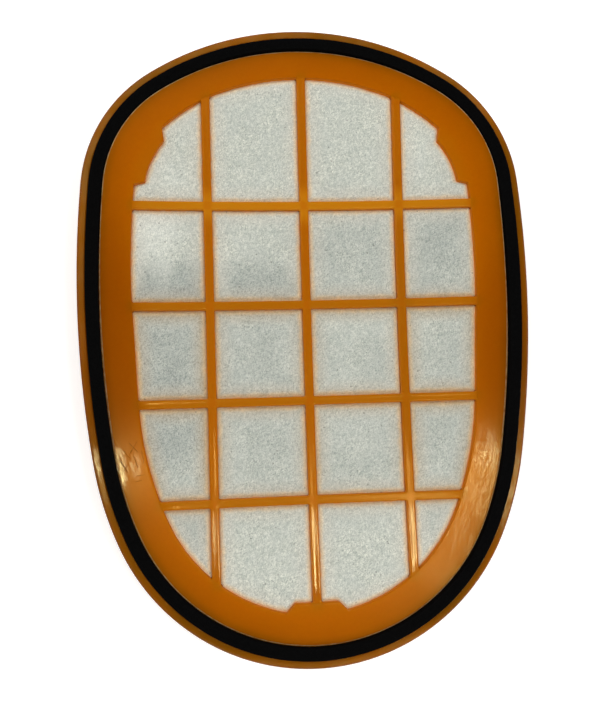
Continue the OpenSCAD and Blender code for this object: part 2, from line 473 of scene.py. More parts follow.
def rib_grid():
    phis = [0, 0.35, 0.75, 1.15, math.pi / 2]
    levels = [(-DRAFT, None)] + [(EDGE_W * (1 - math.cos(f)), EDGE_R * (1 - math.sin(f))) for f in phis] + [(0.90, 0.032)]
    # weights of the wall mask down the levels; the plastic uses the mask for a painted glow that makes the walls
    # lighter
    darker = [1.0, 0.75, 0.35, 0.1, 0.0, 0.0, 0.0]
    stacks = [grid_loops(e) for e, _ in levels]
    pts, faces, wall = [], [], []
    base = 0
    tops, bottoms = [], []
    for li in range(len(stacks[0])):
        n = len(stacks[0][li])
        for (e, drop), loops, dark in zip(levels, stacks, darker):
            xy = loops[li] + [0, GRID_Y]
            if drop is None:
                z = dish(xy[:, 0], xy[:, 1], FLANGE_T - 0.2)
            else:
                z = rib_face(xy[:, 0], xy[:, 1]) - drop
            pts.append(np.c_[xy, z])
            wall.append(np.full(n, dark) * np.clip(in_window(xy[:, 0], xy[:, 1]) / 0.6, 0, 1))
        faces += loft_faces(len(levels), n, base, close_m=False)
        bottoms.append((base, n))
        tops.append((base + (len(levels) - 1) * n, n))
        base += len(levels) * n
    # middle-line points let the top follow the dish
    mids = []
    for j, x in enumerate(XC):
        for y in np.arange(V_BOT[j] + 1.6, V_TOP[j] - 1.5, 1.7):
            mids.append((x, y))
    for i, y in enumerate(YC):
        for x in np.arange(-H_END[i] + 1.6, H_END[i] - 1.5, 1.7):
            if min(abs(x - c) for c in XC) > 0.9:
                mids.append((x, y))
    mids = np.array(mids)
    xy = mids + [0, GRID_Y]
    mid_base = base
    pts.append(np.c_[xy, rib_face(xy[:, 0], xy[:, 1]) - 0.032])
    wall.append(np.zeros(len(mids)))
    base += len(mids)

    def cap(which, level, with_mids):
        loops = stacks[level]
        verts, ids, edges = [], [], []
        for (start, n), lp in zip(which, loops):
            k = len(verts)
            verts += [tuple(v) for v in lp]
            ids += list(range(start, start + n))
            edges += [(k + i, k + (i + 1) % n) for i in range(n)]
        if with_mids:
            verts += [tuple(v) for v in mids]
            ids += list(range(mid_base, mid_base + len(mids)))
        r = delaunay_2d_cdt([Vector(v) for v in verts], edges, [], 0, 1e-6, True)
        co = np.array([tuple(v) for v in r[0]])
        origin = [o[0] for o in r[3]]
        tri = [f for f in r[2] if len(f) == 3]
        c = np.array([co[list(f)].mean(0) for f in tri])
        ok = inside_loops(c, loops)
        return [tuple(ids[origin[i]] for i in f) for f, k in zip(tri, ok) if k]

    top = cap(tops, len(levels) - 1, True)
    bottom = [tuple(reversed(f)) for f in cap(bottoms, 0, False)]
    # the side strips have to agree with the caps, whose triangles are counter-clockwise from above
    flat = np.concatenate(pts)
    edge = {}
    for f in top:
        for a, b in zip(f, f[1:] + f[:1]):
            edge[(a, b)] = 1
    sides, k = [], 0
    for li, (start, n) in enumerate(tops):
        count = (len(levels) - 1) * n
        part = faces[k:k + count]
        k += count
        # the last strip's upper edge runs start+i+1 -> start+i in its quads, so it matches caps that run start+i -> start+i+1
        good = (start, start + 1) in edge
        sides += part if good else [tuple(reversed(f)) for f in part]
    return flat, sides + top + bottom, np.concatenate(wall)


# Scuffed places on the flange and lip, as centres, radii and strengths (lengths in millimetres)
SCUFFS = [
    (-62.2, -39.4, 3.4, 8.8, 1.00), (-56.6, -38.2, 2.8, 6.0, 0.24), (-59.8, -39.0, 9.0, 16.0, 0.04), (-69.2, -37.3, 3.0, 7.0, 0.90),
    (70.2, -24.0, 4.2, 36.0, 0.42), (64.0, -60.0, 6.5, 18.0, 0.46), (68.6, -44.0, 3.0, 10.0, 0.60),
    (58.6, -37.5, 5.6, 11.0, 0.28), (57.4, -40.0, 9.0, 19.0, 0.15), (53.8, -52.0, 8.0, 15.0, 0.14), (47.4, -63.0, 9.0, 14.0, 0.14), (39.8, -73.0, 12.0, 12.0, 0.08),
]


def scuffed(x, y, z):
    """How worn the front is at each place: 1 where it is rubbed most; the skirt behind isn't."""
    out = np.zeros(np.shape(x))
    for x0, y0, rx, ry, f in SCUFFS:
        q = np.clip((1 - np.hypot((x - x0) / rx, (y - y0) / ry)) / 0.7, 0, 1)
        out = np.maximum(out, f * q * q * (3 - 2 * q))
    q = np.clip((z - RIM_Z - 0.15) / 0.6, 0, 1)
    return out * q


def build_frame():
    a, fa, da, wa, ea = frame_ring()
    b, fb, wb = rib_grid()
    pts = np.concatenate([a, b])
    faces = list(fa) + [tuple(i + len(a) for i in f) for f in fb]
    obj = make("frame_moulding", pts, faces, "frame")
    inset = np.concatenate([da, np.clip(depth(b[:, 0], b[:, 1]) + 1.5, 0, 24)]).astype(np.float32)
    lay = obj.data.attributes.new("inset", "FLOAT", "POINT")
    lay.data.foreach_set("value", inset)
    lay = obj.data.attributes.new("wall", "FLOAT", "POINT")
    lay.data.foreach_set("value", np.concatenate([wa, wb]).astype(np.float32))
    lay = obj.data.attributes.new("rib", "FLOAT", "POINT")
    inner = np.clip((in_window(b[:, 0], b[:, 1]) + 0.2) / 2.0, 0, 1)
    lay.data.foreach_set("value", np.concatenate([np.zeros(len(a)), inner]).astype(np.float32))
    lay = obj.data.attributes.new("ledge_highlight", "FLOAT", "POINT")
    lay.data.foreach_set("value", np.concatenate([ea, np.zeros(len(b))]).astype(np.float32))
    lay = obj.data.attributes.new("worn", "FLOAT", "POINT")
    lay.data.foreach_set("value", scuffed(pts[:, 0], pts[:, 1], pts[:, 2]).astype(np.float32))
    return obj


# --------------------------------------------------------------------------
# Gasket: a ring of foam, cut from sheet, with slightly uneven faces
# --------------------------------------------------------------------------
def build_gasket():
    N = 900
    s = np.linspace(0, FULL, N, endpoint=False)
    p, n = outline(s)
    away = np.abs(np.mod(s, FULL) - HALF)
    g1 = LIP_W + (CHANNEL - GASKET_W) / 2 + GASKET_W
    g0 = LIP_W + (CHANNEL - GASKET_W) / 2 + 0.34 * np.exp(-np.square(away / 46))
    z0, z1 = SEAT_Z, SEAT_Z + GASKET_H
    wob = 0.07 * noise(3, p[:, 0], p[:, 1], scale=34)
    rows = section([
        (g0 + 0.02, z0, 0, 0),
        (g0 + 0.02, (z0 + z1) / 2, 0, 0),
        (g0 + 0.05 + np.abs(wob) * 0.6, z1, 0.34, 4),
        (g0 + (g1 - g0) * 0.36, z1, 0, 0),
        (g0 + (g1 - g0) * 0.64, z1, 0, 0),
        (g1 - 0.05 - np.abs(wob) * 0.6, z1, 0.34, 4),
        (g1 - 0.02, (z0 + z1) / 2, 0, 0),
        (g1 - 0.02, z0, 0, 0),
    ], N)
    pts = ring_points(rows, p, n)
    m = len(rows)
    x, y, z = pts[..., 0], pts[..., 1], pts[..., 2]
    top = np.clip((z - z0) / GASKET_H, 0, 1)
    dip = 0.045 * (1 + noise(5, x, y, z, scale=1.9, terms=20)) + 0.04 * (1 + noise(6, x, y, scale=15))
    pts[..., 2] = z - np.clip(dip, 0, 0.3) * top**2
    flat = pts.reshape(-1, 3)
    obj = make("gasket_foam", flat, outward(flat, loft_faces(m, N)), "gasket", weighted=False)
    return obj


# --------------------------------------------------------------------------
# Fleece: a soft mat bonded behind the grid, a little crowned in each cell
# --------------------------------------------------------------------------
def from_ribs(x, y):
    """Distance from the nearest rib's side or window's edge."""
    x, gy = np.asarray(x, float), np.asarray(y, float) - GRID_Y
    out = in_window(x, y).reshape(np.shape(x))
    for c in XC:
        out = np.minimum(out, np.abs(x - c) - HALF_V)
    for c in YC:
        out = np.minimum(out, np.abs(gy - c) - HALF_H)
    return out


def fleece_height(x, y):
    """How far the fleece's face stands above its flat state."""
    near = from_ribs(x, y)
    near = np.clip(near, 0, None)
    rise = 1 - np.exp(-near / 3.2)
    h = 1.05 * (1 - np.exp(-near / 0.8)) + 0.30 * rise
    h = h + rise * (0.16 * noise(11, x, y, scale=24) + 0.07 * noise(12, x, y, scale=9))

    def crease(x0, y0, x1, y1, width, height):
        dx, dy = x1 - x0, y1 - y0
        length = math.hypot(dx, dy)
        a = ((x - x0) * dx + (y - y0) * dy) / length
        b = ((x - x0) * dy - (y - y0) * dx) / length
        along = np.exp(-np.square((a - length / 2) / (0.45 * length)))
        return height * along * np.exp(-np.square(b / width))

    h = h + rise * (
        crease(-51, 29, -55, 17, 1.7, -0.50)
        + crease(-39, 31, -45, 18, 1.9, -0.55)
        + crease(-46, 34, -49, 20, 2.2, 0.42)
        + crease(16, 1, 27, -6, 1.8, 0.26)
        + crease(18, -5, 28, 3, 2.0, 0.18)
        + crease(-26, -62, -12, -70, 2.4, 0.16)
        + crease(6, 62, 20, 72, 2.6, 0.15)
        + crease(40, -20, 52, -30, 2.0, 0.15)
    )
    return h


# Places on the fleece darkened with painted shade, and places lightened with painted light, as centres, radii and
# strengths
SHADE_SPOTS = [
    (-50, -16, 34, 44, 0.74), (-16, -6, 38, 34, 0.50), (54, 28, 34, 36, 0.60), (14, 28, 34, 30, 0.44),
    (52, -22, 34, 44, 0.46), (2, -36, 64, 30, 0.40), (-49, 15, 17, 13, 1.15), (-37, 18, 11, 14, 1.15),
    (-15, 17, 24, 15, 0.72), (-42, -58, 14, 14, 0.60), (42, -58, 12, 14, 0.30), (21, -7.5, 11, 14, 0.42),
]
# painted light: lighter places on the fleece, where its folds catch the light
LIGHT_SPOTS = [
    (-50.5, 37.0, 13, 12, 0.52), (-47.5, 24, 4.5, 11, 0.22), (-44, 54, 10, 9, 0.22), (39, 62, 7, 13, 0.16), (44, 51, 7, 6, 0.14),
    (17, -30, 15, 11, 0.14), (-25, 0, 7, 12, 0.10), (-8, -3, 7, 12, 0.10), (-24, -38, 6, 13, 0.10),
]

# Soft folds darkened with painted shade, as ends, widths and strengths
FOLDS = [
    (-51.5, 27.0, -54.5, 17.0, 4.2, 0.30), (-38.5, 31.0, -44.5, 18.0, 5.4, 0.40), (-52.0, -4.0, -40.0, -12.0, 4.0, 0.14),
    (16.0, 1.0, 27.0, -6.0, 3.4, 0.16), (-26.0, -62.0, -12.0, -70.0, 4.0, 0.12), (40.0, 62.0, 47.0, 52.0, 3.6, 0.12),
    (-18.0, 26.0, -8.0, 20.0, 4.0, 0.12), (10.0, -36.0, 24.0, -30.0, 4.0, 0.10),
]


def soft(q):
    q = np.clip(q, 0, 1)
    return q * q * (3 - 2 * q)


def spots(x, y, places):
    """The strongest of some soft round places, at each point."""
    out = np.zeros(np.shape(x))
    for x0, y0, rx, ry, f in places:
        out = np.maximum(out, f * soft((1 - np.hypot((x - x0) / rx, (y - y0) / ry)) / 0.7))
    return out


# painted shade on the fleece: darker spots, and darker strips along the folds
def spot_and_fold_shade(x, y):
    out = spots(x, y, SHADE_SPOTS)
    for x0, y0, x1, y1, width, f in FOLDS:
        dx, dy = x1 - x0, y1 - y0
        length = math.hypot(dx, dy)
        a = ((x - (x0 + x1) / 2) * dx + (y - (y0 + y1) / 2) * dy) / length
        b = ((x - (x0 + x1) / 2) * dy - (y - (y0 + y1) / 2) * dx) / length
        out = out + f * soft(1 - np.abs(a) / (length / 2)) * soft(1 - np.abs(b) / (width / 2))
    return out


def shaded(x, y):
    """Where the ribs keep light off the fleece: along the cells' edges in the middle rows, most of all below a cross rib."""
    near = np.clip(from_ribs(x, y), 0, None)
    middle = soft((y + 62) / 20) * soft((48 - y) / 12)
    out = 0.30 * soft(1 - near / 6.0) * soft((y + 62) / 20) * soft((26 - y) / 12) + 0.34 * soft(1 - near / 2.6) * middle
    # the outer columns are the darkest at their edges
    out = out + soft((np.abs(x) - 33) / 3) * soft((y + 62) / 20) * soft((18 - y) / 12) * 0.22 * soft(1 - near / 7.0)
    for c, f in zip(YC, (0.10, 0.18, 0.30, 0.06)):
        out = out + f * soft(1 - np.abs(c - HALF_H - (y - GRID_Y)) / 6.0)
    return out + 0.26 * soft(1 - np.abs(XC[0] - HALF_V - x) / 5.0) * soft((26 - y) / 12)


def build_fleece():
    M = 216
    g = np.linspace(-1, 1, M)
    U, V = np.meshgrid(g, g)
    X, Y = U * np.sqrt(1 - V**2 / 2), V * np.sqrt(1 - U**2 / 2)
    rad, ang = np.hypot(X, Y), np.arctan2(Y, X)
    edge_p, edge_n = outline(np.linspace(0, FULL, 2880, endpoint=False))
    rim = edge_p - (WELL + 0.65) * edge_n
    ra = np.unwrap(np.arctan2(rim[:, 1], rim[:, 0]))
    rr = np.hypot(rim[:, 0], rim[:, 1])
    a = np.mod(ang - ra[0], 2 * math.pi) + ra[0]
    R = np.interp(a, np.r_[ra, ra[0] + 2 * math.pi], np.r_[rr, rr[0]])
    x, y = rad * R * np.cos(ang), rad * R * np.sin(ang)
    top = dish(x, y, FLANGE_T) + fleece_height(x, y)
    bottom = dish(x, y, FLANGE_T + FLEECE_T) + 0.05 * noise(15, x, y, scale=12)
    pts = np.concatenate([np.stack([x, y, top], -1).reshape(-1, 3), np.stack([x, y, bottom], -1).reshape(-1, 3)])
    n = M * M
    faces = loft_faces(M, M, 0, close_m=False, close_n=False)
    faces += [tuple(reversed(f)) for f in loft_faces(M, M, n, close_m=False, close_n=False)]
    loop = [i for i in range(M)] + [j * M + M - 1 for j in range(1, M)] + [(M - 1) * M + i for i in range(M - 2, -1, -1)] + [j * M for j in range(M - 2, 0, -1)]
    for a_, b_ in zip(loop, loop[1:] + loop[:1]):
        faces.append((b_, a_, a_ + n, b_ + n))
    obj = make("fleece_mat", pts, outward(pts, faces), "fleece", weighted=False)
    # distance inside the window's edge, for the warm light that the plastic throws on the mat
    lay = obj.data.attributes.new("clear", "FLOAT", "POINT")
    lay.data.foreach_set("value", np.clip(in_window(pts[:, 0], pts[:, 1]), -2, 30).astype(np.float32))
    lay = obj.data.attributes.new("dust_and_shade", "FLOAT", "POINT")
    lay.data.foreach_set("value", spot_and_fold_shade(pts[:, 0], pts[:, 1]).astype(np.float32))
    lay = obj.data.attributes.new("shade", "FLOAT", "POINT")
    lay.data.foreach_set("value", shaded(pts[:, 0], pts[:, 1]).astype(np.float32))
    lay = obj.data.attributes.new("light_spots", "FLOAT", "POINT")
    lay.data.foreach_set("value", spots(pts[:, 0], pts[:, 1], LIGHT_SPOTS).astype(np.float32))
    return obj


# --------------------------------------------------------------------------
# Pleated paper in the rear well
# --------------------------------------------------------------------------
def half_width(y, d):
    """Half width of the outline moved inwards by d, at heights y."""
    p, n = outline(np.linspace(0, HALF, 3000))
    q = p - d * n
    return np.interp(y, q[:, 1], q[:, 0])


def build_pleats():
    z0, z1 = PACK_Z + 0.3, PACK_Z + PLEAT_H - 0.3
    tip = 0.62
    edge = outline(np.array([0.0, HALF]))[0][:, 1]
    lo, hi = edge[0] + WELL + SEAL_W - 0.6, edge[1] - WELL - SEAL_W + 0.6
    corners = []
    n = int(100 / PITCH) + 1
    for i in range(-n, n + 1):
        for y, z in ((i * PITCH - tip, z1), (i * PITCH + tip, z1), (i * PITCH + PITCH / 2 - tip, z0), (i * PITCH + PITCH / 2 + tip, z0)):
            corners.append((y, z))
    corners = [c for c in corners if lo < c[0] < hi]
    path = []
    for i, c in enumerate(corners):
        if i in (0, len(corners) - 1):
            path.append(np.array(c))
            continue
        arc = fillet(*[np.array([corners[j]], float) for j in (i - 1, i, i + 1)], 0.5, 4)[:, 0]
        path += list(arc)
        nxt = np.array(corners[i + 1])
        if abs(nxt[1] - c[1]) > 1:
            a = arc[-1]
            path += [a + (nxt - a) * f for f in (0.3, 0.6)]
    path = np.array(path)
    tangent = np.gradient(path, axis=0)
    tangent /= np.linalg.norm(tangent, axis=1, keepdims=True)
    normal = np.c_[-tangent[:, 1], tangent[:, 0]]
    cols = np.linspace(-1, 1, 15)
    w = half_width(path[:, 0], WELL + SEAL_W - 0.7)
    t = 0.17
    layers = []
    for side in (1, -1):
        q = path + side * t * normal
        x = cols[None] * w[:, None]
        y = np.broadcast_to(q[:, :1], x.shape)
        z = np.broadcast_to(q[:, 1:], x.shape)
        level = (z - z0) / (z1 - z0)
        # folds that wander a little along their length, and from one to the next
        yy = y + 0.16 * noise(21, x, y, scale=46) * np.sin(level * math.pi / 2 + 0.4) + 0.05 * noise(22, x, y, scale=13)
        zz = z + 0.12 * noise(23, x, y, scale=17) * np.where(level > 0.5, 1, 1) * np.abs(2 * level - 1)
        layers.append(np.stack([x, yy, zz], -1))
    m, k = layers[0].shape[:2]
    pts = np.concatenate([l.reshape(-1, 3) for l in layers])
    faces = loft_faces(m, k, 0, close_m=False, close_n=False)
    faces += [tuple(reversed(f)) for f in loft_faces(m, k, m * k, close_m=False, close_n=False)]
    loop = [i for i in range(k)] + [j * k + k - 1 for j in range(1, m)] + [(m - 1) * k + i for i in range(k - 2, -1, -1)] + [j * k for j in range(m - 2, 0, -1)]
    for a, b in zip(loop, loop[1:] + loop[:1]):
        faces.append((b, a, a + m * k, b + m * k))
    obj = make("pleated_paper", pts, outward(pts, faces), "pleated_pack", weighted=False, angle=50)
    seg = np.linalg.norm(np.diff(path, axis=0), axis=1)
    area = float((seg * (w[:-1] + w[1:])).sum()) * 1e-6
    return obj, area, float(2 * w.max()), float(seg.sum())


def build_sealant():
    N = 480
    s = np.linspace(0, FULL, N, endpoint=False)
    p, n = outline(s)
    d0, d1 = WELL - 0.02, WELL + SEAL_W
    z0, z1 = PACK_Z - 0.4, PACK_Z + PLEAT_H
    wave = 0.12 * noise(31, p[:, 0], p[:, 1], scale=19)
    creep = 0.22 * noise(32, p[:, 0], p[:, 1], scale=7) + 0.16 * noise(33, p[:, 0], p[:, 1], scale=3.1)
    rows = section([
        (d0, z1, 0, 0),
        (d0, 6.0, 0, 0),
        (d0, z0 - 0.25 + wave * 0.5, 0, 0),
        (d0 + 0.35, z0 + 0.08 + wave, 0, 0),
        (d0 + 0.95, z0 + 0.26 + wave, 0, 0),
        (d0 + 1.6, z0 + 0.30 + wave, 0, 0),
        (d0 + 2.2 + creep * 0.5, z0 + 0.44 + wave, 0, 0),
        (d1 + 0.1 + creep, z0 + 0.9 + wave, 0, 0),
        (d1 + creep * 0.5, z0 + 2.2, 0, 0),
        (d1, 8.0, 0, 0),
        (d1, z1, 0, 0),
    ], N)
    flat = ring_points(rows, p, n).reshape(-1, 3)
    return make("sealant_ring", flat, outward(flat, loft_faces(len(rows), N)), "edge_sealant", weighted=False)


def build_threads():
    pts, faces, base = [], [], 0
    for z, side in ((PACK_Z - 0.12, -1), (PACK_Z + PLEAT_H + 0.12, 1)):
        for i in range(-2, 3):
            x0 = i * BEAD_STEP
            yy = np.linspace(-100, 100, 2001)
            ok = yy[half_width(np.clip(yy, -92, 92), WELL + SEAL_W + 3.2) > abs(x0) + 0.8]
            ok = ok[np.abs(ok) < 90]
            lo, hi = ok.min(), ok.max()
            n = int((hi - lo) / 0.55)
            y = np.linspace(lo, hi, n)
            rng = 40 + i + (10 if side > 0 else 0)
            phase = 2 * math.pi * y / PITCH + (math.pi if side < 0 else 0)
            r = 0.5 + 0.13 * np.cos(phase) + 0.05 * noise(rng, y, scale=9)
            end = np.minimum(y - lo, hi - y)
            r = r * np.sqrt(np.clip(end / 0.8, 0.02, 1))
            x = x0 + 0.22 * noise(rng + 20, y, scale=60)
            zc = z - side * 0.10 * (1 - np.cos(phase)) + 0.04 * noise(rng + 50, y, scale=15)
            K = 9
            th = np.linspace(0, 2 * math.pi, K, endpoint=False)
            ring = np.stack([x[:, None] + 1.25 * r[:, None] * np.cos(th), np.broadcast_to(y[:, None], (n, K)), zc[:, None] + 0.82 * r[:, None] * np.sin(th)], -1)
            part = ring.reshape(-1, 3)
            f = [(base + j * K + k, base + j * K + (k + 1) % K, base + (j + 1) * K + (k + 1) % K, base + (j + 1) * K + k) for j in range(n - 1) for k in range(K)]
            f.append(tuple(base + k for k in reversed(range(K))))
            f.append(tuple(base + (n - 1) * K + k for k in range(K)))
            pts.append(part)
            local = [tuple(v - base for v in q) for q in f]
            faces += [tuple(v + base for v in q) for q in outward(part, local)]
            base += len(part)
    return make("glue_threads", np.concatenate(pts), faces, "spacer_beads", weighted=False)


frame_obj = build_frame()
gasket_obj = build_gasket()
fleece_obj = build_fleece()
pleat_obj, pleat_area, pleat_w, pleat_l = build_pleats()
sealant_obj = build_sealant()
thread_obj = build_threads()
for o in (frame_obj, gasket_obj, fleece_obj, pleat_obj, sealant_obj, thread_obj):
    print("PIECE", o.name, len(o.data.polygons), sum(len(p.vertices) - 2 for p in o.data.polygons))
print("PLEATS", pleat_area, pleat_w, pleat_l)


# --------------------------------------------------------------------------
# Materials
# --------------------------------------------------------------------------
class Nodes:
    """A short way to write node trees."""

    def __init__(self, name):
        self.mat = bpy.data.materials.new(name)
        self.mat.use_nodes = True
        self.t = self.mat.node_tree
        self.t.nodes.clear()
        self.out = self.t.nodes.new("ShaderNodeOutputMaterial")
        self.bsdf = self.t.nodes.new("ShaderNodeBsdfPrincipled")
        self.t.links.new(self.bsdf.outputs[0], self.out.inputs[0])
        self.coord = self.t.nodes.new("ShaderNodeTexCoord").outputs["Object"]

    def add(self, kind, **inputs):
        n = self.t.nodes.new(kind)
        for k, v in inputs.items():
            self.put(n, k, v)
        return n

    def put(self, n, key, v):
        sock = n.inputs[key] if not isinstance(key, int) else n.inputs[key]
        if isinstance(v, bpy.types.NodeSocket):
            self.t.links.new(v, sock)
        elif hasattr(sock.default_value, "__len__") and hasattr(v, "__len__"):
            d = list(v) + [1.0] * (len(sock.default_value) - len(v))
            sock.default_value = d[:len(sock.default_value)]
        else:
            sock.default_value = v

    def noise(self, scale, detail=3.0, rough=0.55, vector=None, distortion=0.0):
        n = self.add("ShaderNodeTexNoise", Vector=vector or self.coord, Scale=scale, Detail=detail, Roughness=rough, Distortion=distortion)
        return n.outputs["Fac"] if "Fac" in n.outputs else n.outputs[0]

    def math(self, op, a, b=0.0, c=0.0, clamp=False):
        n = self.t.nodes.new("ShaderNodeMath")
        n.operation = op
        n.use_clamp = clamp
        for i, v in enumerate((a, b, c)):
            if isinstance(v, bpy.types.NodeSocket):
                self.t.links.new(v, n.inputs[i])
            else:
                n.inputs[i].default_value = v
        return n.outputs[0]

    def map(self, v, a, b, c=0.0, d=1.0, smooth=False):
        n = self.t.nodes.new("ShaderNodeMapRange")
        n.clamp = True
        if smooth:
            n.interpolation_type = "SMOOTHSTEP"
        for k, x in zip(("Value", "From Min", "From Max", "To Min", "To Max"), (v, a, b, c, d)):
            self.put(n, k, x)
        return n.outputs[0]

    def mixed(self, f, a, b):
        """The value a where f is 0 and b where it is 1."""
        n = self.t.nodes.new("ShaderNodeMix")
        n.data_type = "FLOAT"
        for idx, v in ((0, f), (2, a), (3, b)):
            self.put(n, idx, v)
        return n.outputs[0]

    def mix(self, f, a, b, blend="MIX"):
        n = self.t.nodes.new("ShaderNodeMix")
        n.data_type = "RGBA"
        n.blend_type = blend
        for idx, v in ((0, f), (6, a), (7, b)):
            if isinstance(v, bpy.types.NodeSocket):
                self.t.links.new(v, n.inputs[idx])
            elif hasattr(v, "__len__"):
                n.inputs[idx].default_value = (*v, 1.0)
            else:
                n.inputs[idx].default_value = v
        return n.outputs[2]

    def scaled(self, sx, sy, sz, angle=0.0):
        n = self.t.nodes.new("ShaderNodeMapping")
        n.vector_type = "TEXTURE"
        self.t.links.new(self.coord, n.inputs["Vector"])
        n.inputs["Rotation"].default_value = (0, 0, angle)
        n.inputs["Scale"].default_value = (1 / sx, 1 / sy, 1 / sz)
        return n.outputs[0]

    def ramp(self, f, stops):
        n = self.t.nodes.new("ShaderNodeValToRGB")
        self.t.links.new(f, n.inputs[0])
        e = n.color_ramp.elements
        while len(e) < len(stops):
            e.new(0.5)
        for el, (at, colour) in zip(e, stops):
            el.position = at
        for el, (at, colour) in zip(e, stops):
            el.color = (*colour, 1.0)
        return n.outputs[0]

    def axis(self, which):
        n = self.t.nodes.new("ShaderNodeSeparateXYZ")
        self.t.links.new(self.coord, n.inputs[0])
        return n.outputs[which]

    def attr(self, name):
        n = self.t.nodes.new("ShaderNodeAttribute")
        n.attribute_name = name
        return n.outputs["Fac"]

    def bump(self, height, strength, distance, normal=None):
        n = self.add("ShaderNodeBump", Height=height, Strength=strength, Distance=distance)
        if normal is not None:
            self.t.links.new(normal, n.inputs["Normal"])
        return n.outputs[0]

    def stroke(self, x0, y0, x1, y1, width, core=0.3):
        """1 along a straight line between two places on the part, in millimetres; core is the sharp part of its width."""
        angle, length = math.atan2(y1 - y0, x1 - x0), math.hypot(x1 - x0, y1 - y0)
        cx, cy = (x0 + x1) / 2, (y0 + y1) / 2
        n = self.t.nodes.new("ShaderNodeMapping")
        n.vector_type = "TEXTURE"
        self.t.links.new(self.coord, n.inputs["Vector"])
        n.inputs["Location"].default_value = (cx * MM, cy * MM, 0)
        n.inputs["Rotation"].default_value = (0, 0, angle)
        n.inputs["Scale"].default_value = (length / 2 * MM, width / 2 * MM, 1)
        sp = self.t.nodes.new("ShaderNodeSeparateXYZ")
        self.t.links.new(n.outputs[0], sp.inputs[0])
        along = self.map(self.math("ABSOLUTE", sp.outputs[0]), 2 * core, 1.0, 1.0, 0.0, smooth=True)
        across = self.map(self.math("ABSOLUTE", sp.outputs[1]), core, 1.0, 1.0, 0.0, smooth=True)
        return self.math("MULTIPLY", along, across)

    def spot(self, x, y, rx, ry):
        """1 near a place on the part, in millimetres, falling to 0 round it."""
        n = self.t.nodes.new("ShaderNodeMapping")
        n.vector_type = "POINT"
        self.t.links.new(self.coord, n.inputs["Vector"])
        n.inputs["Location"].default_value = (-x / rx, -y / ry, 0)
        n.inputs["Scale"].default_value = (1000 / rx, 1000 / ry, 0)
        ln = self.t.nodes.new("ShaderNodeVectorMath")
        ln.operation = "LENGTH"
        self.t.links.new(n.outputs[0], ln.inputs[0])
        return self.map(ln.outputs["Value"], 0.3, 1.0, 1.0, 0.0, smooth=True)


# Scratches on the flange beside the left gasket, as ends and widths in millimetres
SCRATCHES = [
    (-62.0, -35.6, -58.9, -40.6, 0.52), (-59.0, -30.6, -55.6, -34.4, 0.30), (-55.9, -30.3, -58.6, -34.8, 0.30),
    (-57.3, -34.9, -55.8, -39.2, 0.26), (-60.6, -33.0, -58.2, -36.2, 0.24), (-56.6, -41.6, -53.6, -41.2, 0.26),
    (-61.2, -41.2, -58.8, -37.6, 0.24), (-57.0, -43.4, -54.6, -43.0, 0.22), (-54.9, -33.0, -53.9, -38.6, 0.22),
]


